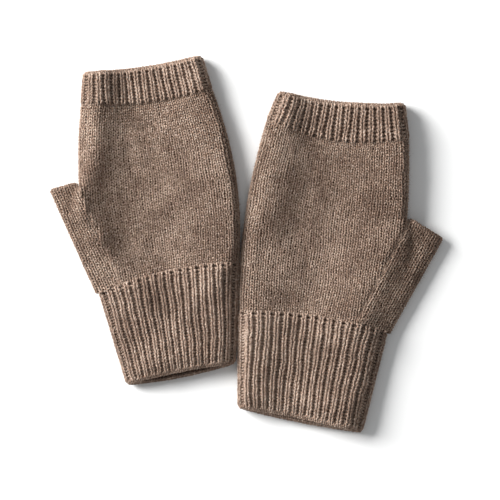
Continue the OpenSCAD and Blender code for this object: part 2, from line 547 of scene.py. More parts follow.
    def surface(self, layer: Layer, p: np.ndarray, s: np.ndarray,
                thumb: bool = False) -> tuple[np.ndarray, np.ndarray]:
        """Points and outward normals of the fabric, with the lips at its mouths.

        Args:
            layer: Which layer of the glove.
            p: Share of the way across the fabric.
            s: Height along the fabric in millimetres. On the thumb it is measured from the wrist.
            thumb: Whether the point is on the gusset and thumb.

        Returns:
            The points and their normals.
        """
        low, high = (-1e9, self.thumb_length) if thumb else (0.0, self.plan.length)
        inside = np.clip(s, low, high)
        span = self.thumb_length if thumb else 1.0
        shape = self.thumb_point if thumb else self.point
        step = 1e-3
        p_low, p_high = np.clip(p - step, 0, 1), np.clip(p + step, 0, 1)
        here = shape(layer, p, inside / span)
        along_p = shape(layer, p_high, inside / span) - shape(layer, p_low, inside / span)
        s_low, s_high = np.clip(inside - 0.1, low, high), np.clip(inside + 0.1, low, high)
        along_s = shape(layer, p, s_high / span) - shape(layer, p, s_low / span)
        normal = unit(np.cross(along_p, along_s)) * layer.value
        out = unit(along_s) * np.sign(s - inside)[..., None]
        turn = (np.abs(s - inside) / self.lip_radius)[..., None]
        here = here + self.lip_radius * (out * np.sin(turn) - normal * (1 - np.cos(turn)))
        return here, unit(normal * np.cos(turn) + out * np.sin(turn))

    @property
    def thumb_length(self) -> float:
        """Length of the gusset and thumb, along the middle of its fabric."""
        plan = self.plan
        foot = (np.array(plan.gusset_foot) + plan.thumb_foot) / 2
        mouth = (np.array(plan.crotch) + plan.thumb_corner) / 2
        return float(np.linalg.norm(mouth - foot))


def unit(vectors: np.ndarray) -> np.ndarray:
    """The same vectors at length one."""
    return vectors / np.maximum(np.linalg.norm(vectors, axis=-1, keepdims=True), 1e-12)


def beyond_line(points: np.ndarray, foot: np.ndarray, crotch: np.ndarray) -> np.ndarray:
    """How far points lie beyond the gusset's line, on the thumb's side of it.

    Args:
        points: Points in the glove's plane, in millimetres.
        foot: The line's end at the wrist.
        crotch: The line's end at the crotch.

    Returns:
        The distances, negative on the hand's side.
    """
    line = crotch - foot
    side = (points[:, 0] - foot[0]) * line[1] - (points[:, 1] - foot[1]) * line[0]
    return side / np.linalg.norm(line)


@dataclass
class Strand:
    """One length of yarn: its middle line, the fabric's normal along it, and its own colour seed."""

    line: np.ndarray
    normal: np.ndarray
    closed: bool
    seed: float


@dataclass
class Knitter:
    """Lays courses of stitches on a form.

    Attributes:
        form: The surface that the fabric follows.
        yarn: The yarn in use.
        gauge: The stitch counts.
        chance: Random numbers for the small unevenness of real stitches.
        depth_spread: How much the stitches' depths differ, as a share of the depth.
        rise_spread: How much their heights differ, as a share of the height.
        wander: How far a stitch strays up or down, as a share of the course spacing.
        stray: How far it strays sideways, as a share of its width.
        flank: How steeply a rib's sides rise; less is steeper.
        gusset_overlap: How far the hand's courses run on past the gusset's line, in millimetres.
    """

    form: Form
    yarn: Yarn
    gauge: Gauge
    chance: np.random.Generator
    depth_spread: float = 0.4
    rise_spread: float = 0.08
    wander: float = 0.07
    stray: float = 0.055
    flank: float = 0.6
    gusset_overlap: float = 1.0

    def stitch_line(self, wales: int, structure: Structure,
                    shift: int) -> tuple[np.ndarray, np.ndarray, np.ndarray, np.ndarray]:
        """One course of stitches in its own terms.

        Args:
            wales: How many stitches the course has.
            structure: Plain or rib.
            shift: 1 if a rib's course starts with a purl stitch, else 0.

        Returns:
            For each point: its share of the way along the course, its height in the loop from -1 to
            1, its offset along the fabric's normal in millimetres, and the number of its stitch.
        """
        yarn = self.yarn
        tau = np.arange(yarn.steps) / yarn.steps
        stitch = np.arange(wales)[:, None]
        even = 1 - self.depth_spread / 2 + self.depth_spread * self.chance.random((wales, 1))
        lean = yarn.lean if structure is Structure.PLAIN else yarn.rib_lean
        run = tau + lean * np.sin(4 * np.pi * tau)
        tall = 1 - self.rise_spread / 2 + self.rise_spread * self.chance.random((wales, 1))
        rise = -np.cos(2 * np.pi * tau) * tall
        if structure is Structure.PLAIN:
            share = (stitch + 0.5 + (run - 0.5) * yarn.gather) / wales
            out = -yarn.depth * even * np.cos(4 * np.pi * tau)
        else:
            knit = (stitch + shift) % 2 == 0
            width = np.where(knit, self.gauge.knit_share, 1 - self.gauge.knit_share) * 2
            start = np.concatenate([[0.0], np.cumsum(width)[:-1]])[:, None]
            share = (start + run * width) / width.sum()
            bulge = np.where(knit, self.gauge.rib_rise, self.gauge.purl_fall)
            side = np.where(knit, 1.0, -1.0) * np.sin(np.pi * tau) ** self.flank
            out = side * (bulge - yarn.rib_depth * even * np.cos(4 * np.pi * tau))
        count = np.broadcast_to(stitch, (wales, yarn.steps))
        rise = np.broadcast_to(rise, (wales, yarn.steps))
        return share.ravel(), rise.ravel(), out.ravel(), count.ravel()

    def half_course(self, layer: Layer, s: float, spacing: float, wales: int, structure: Structure,
                    shift: int = 0, thumb: bool = False) -> tuple[np.ndarray, np.ndarray, np.ndarray]:
        """A course over one layer of the form.

        Args:
            layer: Which layer of the glove.
            s: Height of the course.
            spacing: Height of one course in this piece.
            wales: How many stitches it has.
            structure: Plain or rib.
            shift: 1 if a rib starts with a purl stitch.
            thumb: Whether it is on the gusset and thumb.

        Returns:
            The yarn's middle line, the fabric's normals and each point's stitch.
        """
        share, rise, out, stitch = self.stitch_line(wales, structure, shift)
        wander = np.repeat(self.chance.normal(0.0, self.wander, wales), self.yarn.steps)
        stray = self.chance.normal(0.0, self.stray / wales, wales)
        share = share + np.repeat(stray, self.yarn.steps)
        overlap = self.yarn.overlap if structure is Structure.PLAIN else self.yarn.rib_overlap
        height = s + spacing * (rise * overlap + wander)
        point, normal = self.form.surface(layer, np.clip(share, 0, 1), height, thumb)
        return point + normal * out[:, None], normal, stitch

    def ring(self, s: float, spacing: float, wales: int, structure: Structure,
             thumb: bool = False) -> Strand:
        """A course right round the tube, or round the thumb's outer fold from line to line."""
        upper = self.half_course(Layer.UPPER, s, spacing, wales, structure, 0, thumb)
        lower = self.half_course(Layer.LOWER, s, spacing, wales, structure, 1, thumb)
        line = np.concatenate([upper[0], lower[0][::-1]])
        normal = np.concatenate([upper[1], lower[1][::-1]])
        return Strand(line, normal, not thumb, self.chance.random())

    def panel(self, layer: Layer, courses: int) -> list[Strand]:
        """The hand's plain courses on one layer, each cut short where the gusset starts.

        Args:
            layer: Which layer of the hand.
            courses: How many courses the hand has.

        Returns:
            One strand for each course.
        """
        plan, strands = self.form.plan, []
        foot, crotch = np.array(plan.gusset_foot), np.array(plan.crotch)
        spacing = plan.hand_length / courses
        for row in range(courses):
            s = plan.cuff_length + (row + 0.5) * spacing
            line, normal, stitch = self.half_course(layer, s, spacing, self.gauge.wales, Structure.PLAIN)
            middle = np.array([line[stitch == k, :2].mean(axis=0) for k in range(self.gauge.wales)])
            past = ((beyond_line(middle, foot, crotch) > self.gusset_overlap)
                    & (middle[:, 1] < crotch[1] - self.gusset_overlap))
            last = int(np.argmax(past)) if past.any() else self.gauge.wales
            keep = stitch < last
            strands.append(Strand(line[keep], normal[keep], False, self.chance.random()))
        return strands

    def rings(self, start: float, end: float, courses: int, structure: Structure,
              wales: int, thumb: bool = False) -> list[Strand]:
        """Courses one above another, evenly spaced between two heights."""
        spacing = (end - start) / courses
        return [self.ring(start + (row + 0.5) * spacing, abs(spacing), wales, structure, thumb)
                for row in range(courses)]


@dataclass
class TubeMesh:
    """Gathers strands of yarn into one mesh of closed tubes.

    Attributes:
        radius: Half the yarn's thickness, in millimetres.
        sides: Sides of the tube.
    """

    radius: float
    sides: int
    points: list[np.ndarray] = field(default_factory=list)
    quads: list[np.ndarray] = field(default_factory=list)
    caps: list[np.ndarray] = field(default_factory=list)
    maps: list[np.ndarray] = field(default_factory=list)
    marks: list[np.ndarray] = field(default_factory=list)
    total: int = 0

    def add(self, strand: Strand, row: int, rows: int) -> None:
        """Adds one strand.

        Args:
            strand: The length of yarn.
            row: Its place among the strips of the piece's unwrapped surface.
            rows: How many strips there are.
        """
        line, closed, sides = strand.line, strand.closed, self.sides
        count = len(line)
        if closed:
            ahead, behind = np.roll(line, -1, axis=0), np.roll(line, 1, axis=0)
        else:
            ahead = np.concatenate([line[1:], 2 * line[-1:] - line[-2:-1]])
            behind = np.concatenate([2 * line[:1] - line[1:2], line[:-1]])
        tangent = unit(ahead - behind)
        across = unit(np.cross(tangent, strand.normal))
        up = np.cross(across, tangent)
        angle = np.arange(sides) * 2 * np.pi / sides
        rim = np.cos(angle)[None, :, None] * up[:, None] + np.sin(angle)[None, :, None] * across[:, None]
        self.points.append((line[:, None] + self.radius * rim).reshape(-1, 3))
        spans = count if closed else count - 1
        i, j = np.meshgrid(np.arange(spans), np.arange(sides), indexing="ij")
        i, j = i.ravel(), j.ravel()
        after, beside = (i + 1) % count, (j + 1) % sides
        corners = np.stack([i * sides + j, after * sides + j, after * sides + beside, i * sides + beside], 1)
        self.quads.append(corners + self.total)
        u0, u1 = i / spans, (i + 1) / spans
        v0, v1 = (row + j / sides) / rows, (row + (j + 1) / sides) / rows
        self.maps.append(np.stack([u0, v0, u1, v0, u1, v1, u0, v1], 1).reshape(-1, 2))
        if not closed:
            first, last = np.arange(sides)[::-1], (count - 1) * sides + np.arange(sides)
            self.caps += [first + self.total, last + self.total]
        length = np.concatenate([[0.0], np.cumsum(np.linalg.norm(np.diff(line, axis=0), axis=1))])
        mark = np.empty((count, sides, 3))
        mark[..., 0] = length[:, None]
        mark[..., 1] = np.arange(sides) / sides
        mark[..., 2] = strand.seed
        self.marks.append(mark.reshape(-1, 3))
        self.total += count * sides

    def build(self, name: str, place: "Placement") -> bpy.types.Object:
        """Makes the Blender object.

        Args:
            name: Name of the piece.
            place: Where the glove lies.

        Returns:
            The object, with its unwrapped map and its marks along the yarn.
        """
        quads = np.concatenate(self.quads)
        caps = np.array(self.caps, dtype=np.int64).reshape(-1, self.sides)
        if place.hand is Hand.LEFT:
            quads, caps = quads[:, ::-1], caps[:, ::-1]
            self.maps = [strip.reshape(-1, 4, 2)[:, ::-1].reshape(-1, 2) for strip in self.maps]
        corners = np.concatenate([quads.ravel(), caps.ravel()])
        starts = np.concatenate([np.arange(len(quads)) * 4,
                                 len(quads) * 4 + np.arange(len(caps)) * self.sides])
        maps = np.concatenate(self.maps + [np.zeros((caps.size, 2))])
        return build_mesh(name, place.to_row(np.concatenate(self.points)), corners, starts, maps,
                          np.concatenate(self.marks))


@dataclass(frozen=True)
class Fuzz:
    """The loose fibre ends that stand out of a brushed yarn.

    Attributes:
        per_mm: Fibres on each millimetre of yarn.
        length: Length of a middling fibre, in millimetres.
        width: Width at its root, in millimetres.
        steps: Straight parts in one fibre.
        outward: How strongly fibres point away from the fabric.
        scatter: How widely their ways differ from that.
        bend: How much a fibre turns at each step.
        spread: How widely the lengths differ, as the deviation of their logarithm.
        longest: Longest fibre, as a multiple of the middling one.
        sunk: Share of the yarn's radius at which a fibre leaves it.
        taper: Share of its width that a fibre loses towards its tip.
        clearance: Least height of a fibre above the table, in millimetres.
        map_share: Share of a cell of the unwrapped map that one fibre fills.
    """

    per_mm: float = 1.5
    length: float = 1.9
    width: float = 0.06
    steps: int = 3
    outward: float = 0.75
    scatter: float = 0.55
    bend: float = 0.42
    spread: float = 0.4
    longest: float = 1.8
    sunk: float = 0.8
    taper: float = 0.7
    clearance: float = 0.15
    map_share: float = 0.8

    def grow(self, name: str, strands: list[Strand], radius: float, place: "Placement",
             chance: np.random.Generator) -> bpy.types.Object:
        """Grows fibres along strands of yarn.

        Args:
            name: Name of the piece.
            strands: The yarn they grow from.
            radius: Half the yarn's thickness.
            place: Where the glove lies.
            chance: Random numbers for places and ways.

        Returns:
            The fibres as one object.
        """
        line = np.concatenate([strand.line for strand in strands])
        out = np.concatenate([strand.normal for strand in strands])
        spacing = np.linalg.norm(np.diff(strands[0].line, axis=0), axis=1).mean()
        count = int(len(line) * spacing * self.per_mm)
        pick = chance.integers(0, len(line), count)
        way = unit(out[pick] * self.outward + chance.normal(0, self.scatter, (count, 3)))
        root = line[pick] + way * radius * self.sunk
        bend = chance.normal(0, self.bend, (count, 3))
        share = chance.lognormal(0.0, self.spread, count).clip(0, self.longest)
        reach = self.length * share[:, None] / self.steps
        across = unit(np.cross(way, chance.normal(0, 1, (count, 3)))) * self.width / 2
        rows = []
        for step in range(self.steps + 1):
            thin = 1 - self.taper * step / self.steps
            rows += [root - across * thin, root + across * thin]
            way = unit(way + bend)
            root = root + way * reach
            root[:, 2] = np.maximum(root[:, 2], self.clearance)
        points = np.stack(rows, axis=1)
        steps = np.arange(self.steps)[:, None] * 2 + np.array([0, 1, 3, 2])
        quads = (np.arange(count)[:, None, None] * len(rows) + steps[None]).reshape(-1, 4)
        corner = np.stack([np.array([0, 1, 1, 0]) * self.map_share * np.ones((self.steps, 1)),
                           (np.arange(self.steps)[:, None] + np.array([0, 0, 1, 1])) / self.steps], axis=-1)
        side = math.ceil(math.sqrt(count))
        cell = np.stack([np.arange(count) % side, np.arange(count) // side], axis=-1)
        maps = ((cell[:, None, None] + corner[None] * self.map_share) / side).reshape(-1, 2)
        marks = np.zeros((count, len(rows), 3))
        marks[..., 2] = chance.random(count)[:, None]
        return build_mesh(name, place.to_row(points.reshape(-1, 3)), quads.ravel(),
                          np.arange(len(quads)) * 4, maps, marks.reshape(-1, 3))


def build_mesh(name: str, points: np.ndarray, corners: np.ndarray, starts: np.ndarray,
               maps: np.ndarray, marks: np.ndarray) -> bpy.types.Object:
    """Makes a smooth mesh object from plain arrays.

    Args:
        name: Name of the object.
        points: Positions in metres.
        corners: Vertex number of every face corner, face after face.
        starts: Where each face starts among the corners.
        maps: Place of every corner on the unwrapped map.
        marks: For each vertex: length along the yarn in millimetres, turn round it, and seed.

    Returns:
        The new object, linked to the scene.
    """
    mesh = bpy.data.meshes.new(name)
    mesh.vertices.add(len(points))
    mesh.vertices.foreach_set("co", points.astype(np.float32).ravel())
    mesh.loops.add(len(corners))
    mesh.loops.foreach_set("vertex_index", corners.astype(np.int32))
    mesh.polygons.add(len(starts))
    mesh.polygons.foreach_set("loop_start", starts.astype(np.int32))
    mesh.update(calc_edges=True)
    layer = mesh.uv_layers.new(name="OFBake")
    layer.data.foreach_set("uv", maps.astype(np.float32).ravel())
    attribute = mesh.attributes.new("yarn", "FLOAT_VECTOR", "POINT")
    attribute.data.foreach_set("vector", marks.astype(np.float32).ravel())
    mesh.shade_smooth()
    mesh.validate()
    piece = bpy.data.objects.new(name, mesh)
    bpy.context.scene.collection.objects.link(piece)
    return piece


@dataclass(frozen=True)
class Placement:
    """Where a glove lies in the frame, read from the middles of its two worked edges."""

    hand: Hand
    origin: tuple[float, float]
    up: tuple[float, float]

    @classmethod
    def from_frame(cls, hand: Hand, edge_length: float = 2.4) -> "Placement":
        """Finds a glove's place.

        Args:
            hand: Which glove.
            edge_length: Length of the worked edge beyond the cuff's mouth, in millimetres.

        Returns:
            The placement.
        """
        low, high = (np.array(corner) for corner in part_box(f"{hand.word}_cuff_edge"))
        cuff = (low + high)[:2] / 2
        low, high = (np.array(corner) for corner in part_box(f"{hand.word}_finger_edge"))
        fingers = (low + high)[:2] / 2
        up = (fingers - cuff) / np.linalg.norm(fingers - cuff)
        origin = cuff + up * edge_length / 2 * MM
        return cls(hand, tuple(origin), tuple(up))

    def to_row(self, points: np.ndarray) -> np.ndarray:
        """Points of the glove's plane, in millimetres, as points of the frame, in metres."""
        up = np.array(self.up)
        out = np.array([up[1], -up[0]]) * self.hand.value
        flat = np.array(self.origin) + (points[..., :1] * out + points[..., 1:2] * up) * MM
        return np.concatenate([flat, points[..., 2:3] * MM], axis=-1)

    def spot(self, x: float, y: float, z: float) -> tuple[float, float, float]:
        """One point of the glove's plane as a point of the frame."""
        return tuple(float(v) for v in self.to_row(np.array([x, y, z])))


def linear(hex_colour: str) -> tuple[float, float, float, float]:
    """An sRGB hex colour as linear light, with full alpha."""
    parts = [int(hex_colour[i:i + 2], 16) / 255 for i in (1, 3, 5)]
    light = [c / 12.92 if c <= 0.04045 else ((c + 0.055) / 1.055) ** 2.4 for c in parts]
    return (*light, 1.0)


def blank_material(name: str) -> tuple[bpy.types.Material, bpy.types.NodeTree]:
    """A new material and its node tree, with no nodes in it yet."""
    material = bpy.data.materials.new(name)
    material.use_nodes = True
    material.node_tree.nodes.clear()
    return material, material.node_tree


def add_node(tree: bpy.types.NodeTree, kind: str, settings: dict | None = None,
             inputs: dict | None = None) -> bpy.types.Node:
    """Adds a node, sets it up and links it.

    Args:
        tree: The material's node tree.
        kind: The node's type, such as ShaderNodeMath.
        settings: Values of the node's own properties.
        inputs: For each input, by name or number, a value or the socket to link to it.

    Returns:
        The new node.
    """
    node = tree.nodes.new(kind)
    for key, value in (settings or {}).items():
        setattr(node, key, value)
    for key, value in (inputs or {}).items():
        if isinstance(value, bpy.types.NodeSocket):
            tree.links.new(value, node.inputs[key])
        else:
            node.inputs[key].default_value = value
    return node


@dataclass(frozen=True)
class HeatherYarn:
    """Brushed cashmere-and-wool yarn, spun from fibres dyed in three browns and plied in two.

    The eye sees short light and dark flecks that run along the yarn, a faint spiral where the plies
    meet, bumped and darkened in its groove by painted shade, and a pale soft bloom of loose fibres at
    glancing angles.
    """

    name: str
    dark: str
    middle: str
    light: str
    fleck_mm: float = 2.2
    nap_mm: float = 1.1
    ply_mm: float = 3.4
    roughness: float = 0.92
    bloom: float = 0.5
    depth_share: float = 0.35
    depth_mm: float = 0.5

    def make(self) -> bpy.types.Material:
        """Builds the material.

        Returns:
            The material.
        """
        material, tree = blank_material(self.name)
        yarn = add_node(tree, "ShaderNodeAttribute", {"attribute_name": "yarn"})
        parts = add_node(tree, "ShaderNodeSeparateXYZ", inputs={0: yarn.outputs["Vector"]})
        along = add_node(tree, "ShaderNodeMath", {"operation": "DIVIDE"},
                         {0: parts.outputs["X"], 1: self.fleck_mm})
        seed = add_node(tree, "ShaderNodeMath", {"operation": "MULTIPLY"}, {0: parts.outputs["Z"], 1: 700.0})
        fibre = add_node(tree, "ShaderNodeCombineXYZ",
                         inputs={0: along.outputs[0], 1: parts.outputs["Y"], 2: seed.outputs[0]})
        stretched = add_node(tree, "ShaderNodeVectorMath", {"operation": "MULTIPLY"},
                             {0: fibre.outputs[0], 1: (1.0, 5.0, 1.0)})
        flecks = add_node(tree, "ShaderNodeTexNoise", {"noise_dimensions": "3D"},
                          {"Vector": stretched.outputs[0], "Scale": 1.0, "Detail": 3.0, "Roughness": 0.62})
        place = add_node(tree, "ShaderNodeTexCoord")
        drift = add_node(tree, "ShaderNodeTexNoise", {"noise_dimensions": "3D"},
                         {"Vector": place.outputs["Object"], "Scale": 55.0, "Detail": 2.0, "Roughness": 0.5})
        nap = add_node(tree, "ShaderNodeTexNoise", {"noise_dimensions": "3D"},
                       {"Vector": place.outputs["Object"], "Scale": 1 / (self.nap_mm * MM), "Detail": 2.0,
                        "Roughness": 0.6})
        loose = add_node(tree, "ShaderNodeMix", {"data_type": "FLOAT"},
                         {"Factor": 0.45, 2: flecks.outputs["Fac"], 3: nap.outputs["Fac"]})
        blend = add_node(tree, "ShaderNodeMix", {"data_type": "FLOAT"},
                         {"Factor": 0.2, 2: loose.outputs[0], 3: drift.outputs["Fac"]})
        ramp = add_node(tree, "ShaderNodeValToRGB", inputs={0: blend.outputs[0]})
        stops = ramp.color_ramp.elements
        stops[0].position, stops[0].color = 0.42, linear(self.dark)
        stops[1].position, stops[1].color = 0.585, linear(self.light)
        stops.new(0.5).color = linear(self.middle)
        turn = add_node(tree, "ShaderNodeMath", {"operation": "MULTIPLY"}, {0: parts.outputs["Y"], 1: 2.0})
        pitch = add_node(tree, "ShaderNodeMath", {"operation": "DIVIDE"},
                         {0: parts.outputs["X"], 1: self.ply_mm / 2})
        spiral = add_node(tree, "ShaderNodeMath", {"operation": "ADD"},
                          {0: turn.outputs[0], 1: pitch.outputs[0]})
        wave = add_node(tree, "ShaderNodeMath", {"operation": "PINGPONG"}, {0: spiral.outputs[0], 1: 0.5})
        groove = add_node(tree, "ShaderNodeMapRange", {"interpolation_type": "SMOOTHSTEP"},
                          {"Value": wave.outputs[0], "From Max": 0.16, "To Min": 0.0, "To Max": 1.0})
        # Painted shade: the colour is darkened to 0.62 in the groove where the plies meet.
        painted_groove_shade = add_node(tree, "ShaderNodeMapRange", inputs={
            "Value": groove.outputs[0], "To Min": 0.62, "To Max": 1.0})
        groove_shaded_colour = add_node(tree, "ShaderNodeMix", {"data_type": "RGBA", "blend_type": "MULTIPLY"},
                        {"Factor": 1.0, 6: ramp.outputs["Color"], 7: painted_groove_shade.outputs[0]})
        relief = add_node(tree, "ShaderNodeMath", {"operation": "ADD"},
                          {0: groove.outputs[0], 1: flecks.outputs["Fac"]})
        bump = add_node(tree, "ShaderNodeBump",
                        inputs={"Height": relief.outputs[0], "Strength": 0.55, "Distance": 0.22 * MM})
        shader = add_node(tree, "ShaderNodeBsdfPrincipled", inputs={
            "Base Color": groove_shaded_colour.outputs[2], "Roughness": self.roughness, "IOR": 1.54,
            "Normal": bump.outputs[0], "Subsurface Weight": self.depth_share,
            "Subsurface Radius": (1.0, 0.75, 0.6), "Subsurface Scale": self.depth_mm * MM,
            "Sheen Weight": self.bloom, "Sheen Roughness": 0.45,
            "Sheen Tint": linear(self.light), "Specular IOR Level": 0.2})
        add_node(tree, "ShaderNodeOutputMaterial", inputs={"Surface": shader.outputs[0]})
        return material


@dataclass(frozen=True)
class LooseFibre:
    """Single fibres, paler than the yarn because light passes through them."""

    name: str
    dark: str
    light: str
    passes: float = 0.35

    def make(self) -> bpy.types.Material:
        """Builds the material.

        Returns:
            The material.
        """
        material, tree = blank_material(self.name)
        mark = add_node(tree, "ShaderNodeAttribute", {"attribute_name": "yarn"})
        parts = add_node(tree, "ShaderNodeSeparateXYZ", inputs={0: mark.outputs["Vector"]})
        ramp = add_node(tree, "ShaderNodeValToRGB", inputs={0: parts.outputs["Z"]})
        stops = ramp.color_ramp.elements
        stops[0].color, stops[1].color = linear(self.dark), linear(self.light)
        face = add_node(tree, "ShaderNodeBsdfPrincipled", inputs={
            "Base Color": ramp.outputs["Color"], "Roughness": 0.6, "Specular IOR Level": 0.25})
        through = add_node(tree, "ShaderNodeBsdfTranslucent", inputs={"Color": ramp.outputs["Color"]})
        both = add_node(tree, "ShaderNodeMixShader", inputs={
            0: self.passes, 1: face.outputs[0], 2: through.outputs[0]})
        add_node(tree, "ShaderNodeOutputMaterial", inputs={"Surface": both.outputs[0]})
        return material


@dataclass(frozen=True)
class PaintedShadeGround:
    """A sheet inside the fabric that keeps it closed: dull, darker than the yarn, with a loose uneven nap;
    its dark browns are painted shade for the gaps between the loops.
    """

    name: str
    dark: str
    light: str
    nap_mm: float = 0.6

    def make(self) -> bpy.types.Material:
        """Builds the material.

        Returns:
            The material.
        """
        material, tree = blank_material(self.name)
        place = add_node(tree, "ShaderNodeTexCoord")
        nap = add_node(tree, "ShaderNodeTexNoise", inputs={
            "Vector": place.outputs["Object"], "Scale": 1 / (self.nap_mm * MM) / 2, "Detail": 3.0,
            "Roughness": 0.6})
        ramp = add_node(tree, "ShaderNodeValToRGB", inputs={0: nap.outputs["Fac"]})
        stops = ramp.color_ramp.elements
        stops[0].position, stops[0].color = 0.35, linear(self.dark)
        stops[1].position, stops[1].color = 0.7, linear(self.light)
        bump = add_node(tree, "ShaderNodeBump",
                        inputs={"Height": nap.outputs["Fac"], "Strength": 0.6, "Distance": 0.3 * MM})
        shader = add_node(tree, "ShaderNodeBsdfPrincipled", inputs={
            "Base Color": ramp.outputs["Color"], "Roughness": 0.95, "Normal": bump.outputs[0],
            "Specular IOR Level": 0.15, "Sheen Weight": 0.2, "Sheen Roughness": 0.5,
            "Sheen Tint": linear(self.light)})
        add_node(tree, "ShaderNodeOutputMaterial", inputs={"Surface": shader.outputs[0]})
        return material


@dataclass(frozen=True)
class Finishes:
    """The materials of the gloves."""

    plain: bpy.types.Material
    rib: bpy.types.Material
    edge: bpy.types.Material
    ground: bpy.types.Material
    fibre: bpy.types.Material

    @classmethod
    def mixed(cls) -> "Finishes":
        """Makes every finish. The plain, ribbed and edge yarns are close shades of one heather."""
        return cls(
            HeatherYarn("heather_yarn_plain", "#675145", "#937c6c", "#c7b1a0").make(),
            HeatherYarn("heather_yarn_rib", "#665246", "#937c6d", "#c5b0a0").make(),
            HeatherYarn("heather_yarn_edge", "#614d41", "#8a7364", "#b49e8e").make(),
            # Painted shade: the ground sheet's dark browns stand for the shade in the gaps between the
            # loops.
            PaintedShadeGround("ground_sheet_painted_shade", "#33261f", "#5e4c40").make(),
            LooseFibre("loose_fibre", "#7a6454", "#c6b2a2").make(),
        )


